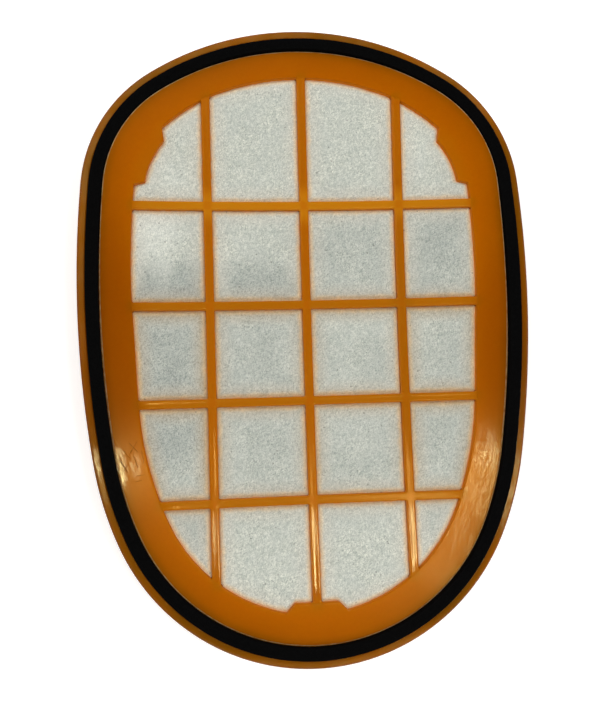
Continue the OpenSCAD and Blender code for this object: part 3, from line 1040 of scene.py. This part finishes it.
def orange_plastic():
    m = Nodes("orange_plastic")
    inset, wall, ledge_highlight, rib = m.attr("inset"), m.attr("wall"), m.attr("ledge_highlight"), m.attr("rib")
    cloud = m.noise(38, 3, 0.5)
    fine = m.noise(900, 2, 0.5)
    # the moulding is deeper in colour on the lip, and it is darker beside the gasket and lighter towards the window as
    # painted shade, where the proud gasket keeps light off the flange
    tone_and_gasket_shade = m.ramp(m.math("MULTIPLY", inset, 1 / 24), [
        (0.00, (0.185, 0.062, 0.0020)), (0.115, (0.160, 0.056, 0.0016)), (0.295, (0.170, 0.064, 0.0012)),
        (0.325, (0.215, 0.062, 0.0005)), (0.42, (0.312, 0.078, 0.0002)), (0.62, (0.375, 0.092, 0.0002)),
        (0.70, (0.385, 0.102, 0.0006)), (0.80, (0.385, 0.108, 0.0012)), (1.00, (0.385, 0.112, 0.0026))])
    base = m.mix(m.map(cloud, 0.35, 0.65, 0.0, 0.30), tone_and_gasket_shade, (0.40, 0.098, 0.0004))
    base = m.mix(m.map(fine, 0.3, 0.7, 0.0, 0.12), base, (0.22, 0.055, 0.0006))
    # painted shade makes the sides a shade deeper than the ends, where less light falls on them, and painted light
    # makes the cross ribs a shade yellower than the long ones, where their rounded edges catch the lamps at the ends
    sides = m.math("MAXIMUM", m.spot(-63, -2, 17, 58), m.math("MULTIPLY", m.spot(65, -4, 16, 46), 0.8))
    base = m.mix(m.math("MULTIPLY", sides, 0.46), base, (0.16, 0.030, 0.0002))
    y = m.math("SUBTRACT", m.math("MULTIPLY", m.axis("Y"), 1000), GRID_Y)
    cross = None
    for c in YC:
        d = m.math("ABSOLUTE", m.math("SUBTRACT", y, c))
        cross = d if cross is None else m.math("MINIMUM", cross, d)
    cross = m.math("MULTIPLY", m.map(cross, 1.1, 1.5, 1.0, 0.0), rib)
    # painted light: the cross ribs' faces are mixed lighter and yellower
    base = m.mix(m.math("MULTIPLY", cross, 0.45), base, (0.38, 0.138, 0.0040))
    # painted light: the topmost cross rib is lighter still, where the lamp at the broad end lights it most
    base = m.mix(m.math("MULTIPLY", m.math("MULTIPLY", m.spot(0, YC[3] + GRID_Y, 90, 8), rib), 0.4), base, (0.62, 0.250, 0.0080))
    x = m.math("MULTIPLY", m.axis("X"), 1000)
    along = None
    for c in XC:
        d = m.math("ABSOLUTE", m.math("SUBTRACT", x, c))
        along = d if along is None else m.math("MINIMUM", along, d)
    joint = m.math("MULTIPLY", cross, m.map(along, 0.6, 2.0, 1.0, 0.0, smooth=True))
    base = m.mix(m.math("MULTIPLY", joint, 0.40), base, (0.42, 0.088, 0.0010))
    # painted shade: the right long rib is a shade darker
    base = m.mix(m.math("MULTIPLY", m.spot(32, 0, 6, 70), 0.22), base, (0.22, 0.080, 0.0020))
    # painted light: the walls of the window and the ribs are made lighter and more orange, a painted glow of light
    # bounced from the fleece and passing through the plastic
    base = m.mix(m.math("MULTIPLY", wall, 0.80), base, (0.74, 0.230, 0.0080))
    # painted highlight: a light grey-beige line along the channel's inner top edge
    base = m.mix(m.math("MULTIPLY", ledge_highlight, m.map(m.noise(420, 3, 0.6), 0.35, 0.60, 0.25, 0.75)), base, (0.42, 0.30, 0.16))
    # faint hairlines all over, and a few long scratches where something has rubbed the flange
    s1 = m.noise(1.0, 2, 0.6, m.scaled(3200, 130, 300, 0.9))
    s2 = m.noise(1.0, 2, 0.6, m.scaled(2900, 120, 300, -0.6))
    s3 = m.noise(1.0, 2, 0.6, m.scaled(3000, 90, 300, 0.25))
    lines = m.math("MAXIMUM", m.map(s1, 0.62, 0.70), m.math("MAXIMUM", m.map(s2, 0.62, 0.70), m.map(s3, 0.60, 0.70)))
    # scuffed places, which scatter the light of the lamps, with a brushed grain along the rim
    worn = m.attr("worn")
    left = m.noise(1.0, 4, 0.65, m.scaled(2700, 420, 400, 0.42), 0.4)
    right = m.noise(1.0, 4, 0.65, m.scaled(2800, 260, 400, -0.26), 0.15)
    at_right = m.map(m.axis("X"), -0.01, 0.01)
    brushed = m.mixed(at_right, left, right)
    broken = m.noise(700, 4, 0.65)
    mottle = m.math("MULTIPLY", m.map(brushed, 0.42, 0.60, m.mixed(at_right, 0.10, 0.30), m.mixed(at_right, 1.90, 1.55)), m.map(broken, 0.38, 0.60, 0.55, 1.30))
    gloss = m.math("MULTIPLY", worn, mottle)
    wear = m.math("MULTIPLY", lines, m.map(worn, 0, 0.4, 0.05, 0.6))
    cuts = None
    for x0, y0, x1, y1, width in SCRATCHES:
        cuts = m.stroke(x0, y0, x1, y1, width) if cuts is None else m.math("MAXIMUM", cuts, m.stroke(x0, y0, x1, y1, width))
    cuts = m.math("MULTIPLY", cuts, m.map(worn, 0.0, 0.004))
    cuts = m.math("MULTIPLY", cuts, m.map(m.noise(1500, 2, 0.5), 0.3, 0.55, 0.35, 1.0))
    base = m.mix(m.math("MULTIPLY", cuts, 0.75), base, (0.10, 0.030, 0.001))
    rough = m.map(m.noise(120, 4, 0.6), 0.3, 0.7, 0.13, 0.17)
    rough = m.math("ADD", rough, m.math("MULTIPLY", wear, 0.12))
    rough = m.math("ADD", rough, m.math("MULTIPLY", cuts, 0.25))
    rough = m.math("SUBTRACT", rough, m.math("MULTIPLY", rib, 0.05))
    lip = m.map(inset, 2.6, 3.0, 1.0, 0.0)
    level = m.math("ADD", 0.10, gloss)
    # the ribs are polished towards the narrow end
    level = m.math("MAXIMUM", level, m.math("MULTIPLY", rib, m.map(y, -56, -50, 0.75, 0.13)))
    level = m.math("MAXIMUM", level, m.math("MULTIPLY", lip, m.map(m.noise(160, 3, 0.6), 0.35, 0.65, 0.10, 0.27)))
    level = m.math("MULTIPLY", level, m.math("SUBTRACT", 1.0, m.math("MAXIMUM", m.math("MULTIPLY", cuts, 0.85), m.math("MULTIPLY", wall, 0.97))))
    m.put(m.bsdf, "Base Color", base)
    m.put(m.bsdf, "Roughness", rough)
    m.put(m.bsdf, "IOR", 1.46)
    m.put(m.bsdf, "Specular IOR Level", level)
    m.put(m.bsdf, "Subsurface Weight", 0.30)
    m.put(m.bsdf, "Subsurface Radius", (1.0, 0.38, 0.06))
    m.put(m.bsdf, "Subsurface Scale", 0.0011)
    m.put(m.bsdf, "Specular Tint", m.mix(m.map(level, 0.12, 0.40), (1.0, 0.64, 0.16), (1.0, 0.88, 0.42)))
    b = m.bump(m.noise(2600, 2, 0.5), 0.10, 0.00004)
    b = m.bump(m.noise(240, 3, 0.5), 0.12, 0.00012, b)
    b = m.bump(m.math("MULTIPLY", brushed, m.map(worn, 0, 0.3, 0.0, 1.0)), 0.12, 0.00008, b)
    b = m.bump(wear, 0.18, 0.00003, b)
    b = m.bump(m.math("SUBTRACT", 1.0, cuts), 0.5, 0.00010, b)
    m.put(m.bsdf, "Normal", b)
    return m.mat


def black_foam():
    m = Nodes("black_foam")
    cell = m.add("ShaderNodeTexVoronoi", Vector=m.coord, Scale=2600.0)
    pores = m.map(cell.outputs["Distance"], 0.1, 0.6)
    dust_and_shade = m.add("ShaderNodeTexVoronoi", Vector=m.coord, Scale=900.0)
    specks = m.math("MULTIPLY", m.map(dust_and_shade.outputs["Distance"], 0.06, 0.13, 1.0, 0.0), m.map(m.noise(300, 2, 0.5), 0.55, 0.7))
    base = m.mix(pores, (0.0008, 0.0008, 0.0009), (0.0019, 0.0019, 0.0020))
    base = m.mix(m.math("MULTIPLY", specks, 0.35), base, (0.03, 0.03, 0.03))
    m.put(m.bsdf, "Base Color", base)
    m.put(m.bsdf, "Roughness", m.map(m.noise(700, 3, 0.6), 0.3, 0.7, 0.85, 0.98))
    m.put(m.bsdf, "Specular IOR Level", 0.03)
    b = m.bump(pores, 0.55, 0.00012)
    b = m.bump(m.noise(1100, 3, 0.6), 0.45, 0.00018, b)
    m.put(m.bsdf, "Normal", b)
    return m.mat


def white_fleece():
    m = Nodes("white_fleece")
    clear = m.attr("clear")
    fibre1 = m.noise(1.0, 4, 0.7, m.scaled(3400, 900, 1500, 0.10), 1.2)
    fibre2 = m.noise(1.0, 4, 0.7, m.scaled(1100, 3200, 1500, 0.3), 1.2)
    fibre3 = m.noise(1.0, 4, 0.7, m.scaled(3000, 1100, 1500, -0.6), 1.4)
    felt = m.math("MULTIPLY", m.math("ADD", m.math("ADD", fibre1, fibre2), fibre3), 1 / 3)
    clump = m.noise(1000, 3, 0.7, None, 0.8)
    patch = m.noise(110, 3, 0.6)
    light, mid = (0.77, 0.78, 0.70), (0.27, 0.31, 0.28)
    base = m.mix(m.map(felt, 0.43, 0.55), mid, light)
    base = m.mix(m.map(clump, 0.36, 0.60, 0.50, 0.0), base, (0.34, 0.38, 0.35))
    base = m.mix(m.map(patch, 0.38, 0.62, 0.32, 0.0), base, (0.44, 0.48, 0.46))
    # painted shade greys the middle rows, most of all at the left and the upper right
    dust_and_shade = m.math("MULTIPLY", m.attr("dust_and_shade"), m.map(m.noise(140, 4, 0.6), 0.35, 0.60, 0.65, 1.1))
    weave = m.map(felt, 0.44, 0.55)
    base = m.mix(dust_and_shade, base, m.mix(weave, (0.195, 0.225, 0.210), (0.42, 0.45, 0.42)))
    # painted light: lighter places on the fleece, where its folds catch the light
    base = m.mix(m.math("MULTIPLY", m.attr("light_spots"), m.map(m.noise(180, 3, 0.6), 0.35, 0.60, 0.7, 1.0)), base, m.mix(weave, (0.56, 0.59, 0.55), (0.90, 0.91, 0.84)))
    # warm light from the plastic beside the fleece, strong for a millimetre and faint for some more
    x, y = m.math("MULTIPLY", m.axis("X"), 1000), m.math("SUBTRACT", m.math("MULTIPLY", m.axis("Y"), 1000), GRID_Y)
    near = clear
    for c in XC:
        near = m.math("MINIMUM", near, m.math("SUBTRACT", m.math("ABSOLUTE", m.math("SUBTRACT", x, c)), HALF_V))
    for c in YC:
        near = m.math("MINIMUM", near, m.math("SUBTRACT", m.math("ABSOLUTE", m.math("SUBTRACT", y, c)), HALF_H))
    near = m.math("ADD", near, m.map(m.noise(300, 3, 0.5), 0.3, 0.7, -0.35, 0.35))
    base = m.mix(m.map(near, 0.0, 7.5, 0.38, 0.0, smooth=True), base, m.mix(weave, (0.46, 0.42, 0.36), (0.69, 0.65, 0.56)))
    base = m.mix(m.attr("shade"), base, m.mix(weave, (0.27, 0.215, 0.14), (0.45, 0.375, 0.26)))
    base = m.mix(m.map(near, 0.2, 2.2, 0.54, 0.0, smooth=True), base, m.mix(weave, (0.80, 0.56, 0.27), (0.94, 0.72, 0.39)))
    base = m.mix(m.map(near, 0.0, 0.45, 0.60, 0.0, smooth=True), base, (0.80, 0.40, 0.12))
    spots = m.add("ShaderNodeTexVoronoi", Vector=m.coord, Scale=420.0)
    speck = m.math("MULTIPLY", m.map(spots.outputs["Distance"], 0.08, 0.16, 1.0, 0.0), m.map(m.noise(260, 2, 0.5), 0.48, 0.60))
    base = m.mix(m.math("MULTIPLY", speck, 0.55), base, (0.10, 0.10, 0.09))
    m.put(m.bsdf, "Base Color", base)
    m.put(m.bsdf, "Roughness", m.map(felt, 0.4, 0.6, 0.98, 0.88))
    m.put(m.bsdf, "Specular IOR Level", 0.2)
    m.put(m.bsdf, "Sheen Weight", 0.15)
    m.put(m.bsdf, "Sheen Roughness", 0.6)
    b = m.bump(felt, 0.8, 0.00035)
    b = m.bump(clump, 0.5, 0.00045, b)
    m.put(m.bsdf, "Normal", b)
    return m.mat


def filter_paper():
    m = Nodes("filter_paper")
    felt = m.noise(1.0, 4, 0.65, m.scaled(900, 900, 900), 0.8)
    patch = m.noise(60, 3, 0.55)
    base = m.mix(m.map(felt, 0.38, 0.62), (0.66, 0.65, 0.60), (0.82, 0.81, 0.76))
    base = m.mix(m.map(patch, 0.4, 0.7, 0.0, 0.25), base, (0.60, 0.58, 0.52))
    m.put(m.bsdf, "Base Color", base)
    m.put(m.bsdf, "Roughness", m.map(felt, 0.3, 0.7, 0.95, 0.85))
    m.put(m.bsdf, "Specular IOR Level", 0.25)
    b = m.bump(felt, 0.5, 0.00012)
    m.put(m.bsdf, "Normal", b)
    return m.mat


def hot_glue():
    m = Nodes("hot_glue")
    cloud = m.noise(160, 3, 0.55)
    base = m.mix(m.map(cloud, 0.35, 0.65), (0.62, 0.54, 0.36), (0.76, 0.70, 0.54))
    m.put(m.bsdf, "Base Color", base)
    m.put(m.bsdf, "Roughness", m.map(m.noise(300, 3, 0.6), 0.3, 0.7, 0.28, 0.42))
    m.put(m.bsdf, "Subsurface Weight", 0.0)
    b = m.bump(m.noise(420, 3, 0.6), 0.3, 0.0002)
    m.put(m.bsdf, "Normal", b)
    return m.mat


for o, mat in ((frame_obj, orange_plastic()), (gasket_obj, black_foam()), (fleece_obj, white_fleece()), (pleat_obj, filter_paper())):
    o.data.materials.append(mat)
glue = hot_glue()
sealant_obj.data.materials.append(glue)
thread_obj.data.materials.append(glue)


# --------------------------------------------------------------------------
# Stage, light and camera
# --------------------------------------------------------------------------
floor_mesh = bpy.data.meshes.new("floor")
F = 3.0
floor_mesh.from_pydata([(-F, -F, 0), (F, -F, 0), (F, F, 0), (-F, F, 0)], [], [(0, 1, 2, 3)])
floor = bpy.data.objects.new("floor", floor_mesh)
bpy.context.scene.collection.objects.link(floor)
fm = Nodes("floor")
fm.put(fm.bsdf, "Base Color", (0.93, 0.93, 0.93))
fm.put(fm.bsdf, "Roughness", 0.9)
fm.put(fm.bsdf, "Specular IOR Level", 0.1)
fm.put(fm.bsdf, "Emission Color", (1.0, 1.0, 1.0))
fm.put(fm.bsdf, "Emission Strength", 0.36)
floor_mesh.materials.append(fm.mat)

world = bpy.data.worlds.new("studio")
bpy.context.scene.world = world
world.use_nodes = True
wt = world.node_tree
bg = wt.nodes["Background"]
sky = wt.nodes.new("ShaderNodeTexCoord")
split = wt.nodes.new("ShaderNodeSeparateXYZ")
wt.links.new(sky.outputs["Generated"], split.inputs[0])
ramp = wt.nodes.new("ShaderNodeMapRange")
ramp.interpolation_type = "SMOOTHSTEP"
wt.links.new(split.outputs["Z"], ramp.inputs["Value"])
for key, value in (("From Min", 0.60), ("From Max", 0.94), ("To Min", 0.46), ("To Max", 0.02)):
    ramp.inputs[key].default_value = value
wt.links.new(ramp.outputs[0], bg.inputs["Strength"])
bg.inputs["Color"].default_value = (1.0, 0.99, 0.965, 1)


def area_light(name, place, target, size, power, colour=(1, 1, 1)):
    data = bpy.data.lights.new(name, "AREA")
    data.shape = "RECTANGLE"
    data.size, data.size_y = size
    data.energy = power
    data.color = colour
    o = bpy.data.objects.new(name, data)
    bpy.context.scene.collection.objects.link(o)
    o.location = Vector(place)
    o.rotation_mode = "QUATERNION"
    o.rotation_quaternion = (Vector(target) - Vector(place)).to_track_quat("-Z", "Y")
    return o


area_light("key left", (-0.002, -0.030, 0.466), (-0.058, -0.038, 0.020), (0.024, 0.026), 0.115, (1.0, 0.96, 0.90))
area_light("key right", (0.093, -0.040, 0.466), (0.055, -0.045, 0.020), (0.024, 0.060), 0.170, (1.0, 0.96, 0.90))
area_light("key right low", (0.092, -0.096, 0.466), (0.045, -0.070, 0.020), (0.022, 0.060), 0.100, (1.0, 0.96, 0.90))
area_light("long rib", (0.049, -0.068, 0.466), (0.0, -0.064, 0.018), (0.007, 0.075), 0.026, (1.0, 0.96, 0.88))
area_light("right rib", (0.076, -0.056, 0.466), (0.032, -0.056, 0.019), (0.006, 0.042), 0.024, (1.0, 0.96, 0.88))
area_light("side left", (-0.128, -0.066, 0.466), (-0.069, -0.042, 0.022), (0.024, 0.036), 0.100, (1.0, 0.97, 0.92))
area_light("side right", (0.220, -0.088, 0.466), (0.064, -0.054, 0.022), (0.034, 0.150), 0.210, (1.0, 0.97, 0.92))
area_light("main", (-0.170, 0.215, 0.460), (0.0, 0.0, 0.017), (0.34, 0.34), 1.09, (1.0, 0.99, 0.96))
area_light("broad end", (0.045, 0.190, 0.200), (0.0, 0.060, 0.017), (0.20, 0.08), 0.120, (1.0, 0.99, 0.96))
area_light("narrow end", (0.020, -0.190, 0.200), (0.0, -0.060, 0.017), (0.20, 0.08), 0.170, (1.0, 0.99, 0.96))

cam_data = bpy.data.cameras.new("camera")
cam = bpy.data.objects.new("camera", cam_data)
bpy.context.scene.collection.objects.link(cam)
rx, ry, rz = -0.0807, 0.0982, 0.0320
RM = (Matrix.Rotation(rx, 3, "X") @ Matrix.Rotation(ry, 3, "Y") @ Matrix.Rotation(rz, 3, "Z"))
SCALE, DIST, TX, TY = 96.6954, 9.0, 8.30, -0.90
centre = RM.transposed() @ Vector((-TX / SCALE, -TY / SCALE, DIST)) * PX
place = Vector((centre.x, centre.y + GRID_Y, centre.z + GRID_Z)) * MM
pose = RM.transposed().to_4x4()
pose.translation = place
cam.matrix_world = pose
cam_data.sensor_width = 36.0
cam_data.lens = 36.0 * SCALE * DIST / 702.0
cam_data.clip_start, cam_data.clip_end = 0.01, 20.0
bpy.context.scene.camera = cam

scene = bpy.context.scene
scene.view_settings.view_transform = "Standard"
scene.view_settings.look = "None"
scene.view_settings.exposure = 0.0
scene.view_settings.gamma = 1.0
